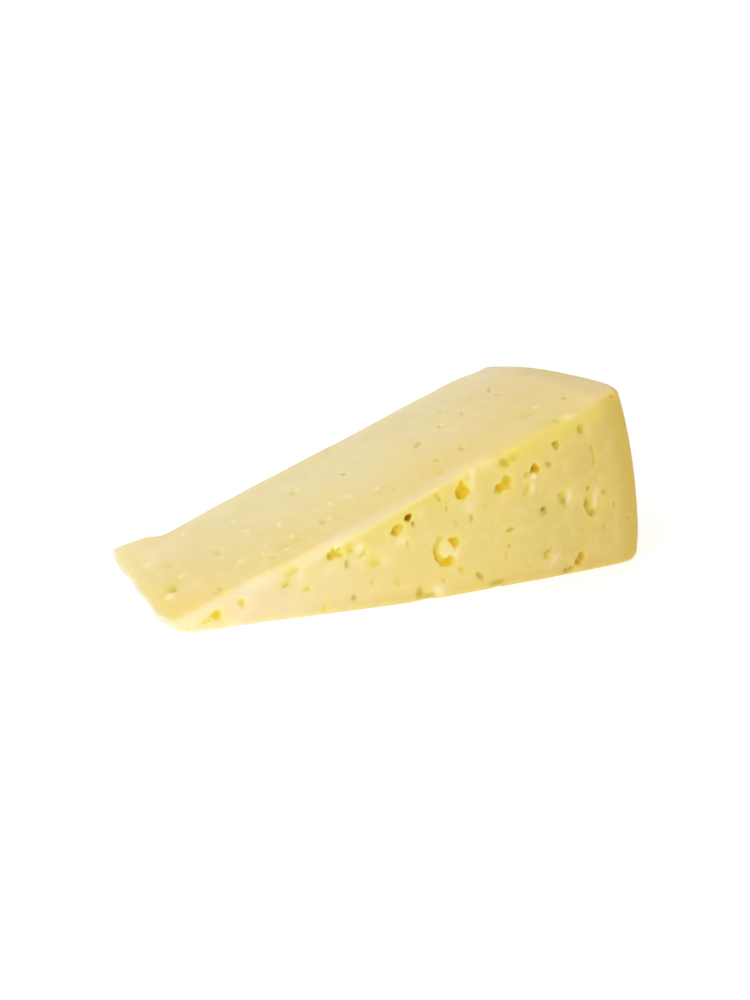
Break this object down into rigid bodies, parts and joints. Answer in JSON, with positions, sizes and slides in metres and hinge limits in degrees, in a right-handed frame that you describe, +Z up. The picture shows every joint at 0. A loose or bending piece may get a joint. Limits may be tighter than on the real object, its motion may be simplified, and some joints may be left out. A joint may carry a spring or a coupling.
{
  "type": "cheese wedge",
  "caption": "Wedge of pale yellow semi-hard cheese with small irregular eyes, lying on one of its two slanting cuts, thin at the tip and thick at its rounded rim.",
  "frame": {"origin": "on the surface that the wedge lies on, under the middle of its bounding box", "axes": "+X from the thin tip to the rim, +Y from the near sector-shaped face to the far one, +Z up"},
  "size_m": [0.1592, 0.0904, 0.0563],
  "materials": {
    "cheese": "pale yellow cheese body, moist satin, slightly translucent, deeper yellow inside the eyes"
  },
  "bodies": {
    "root": {"cheese": "cheese"}
  },
  "joints": []
}
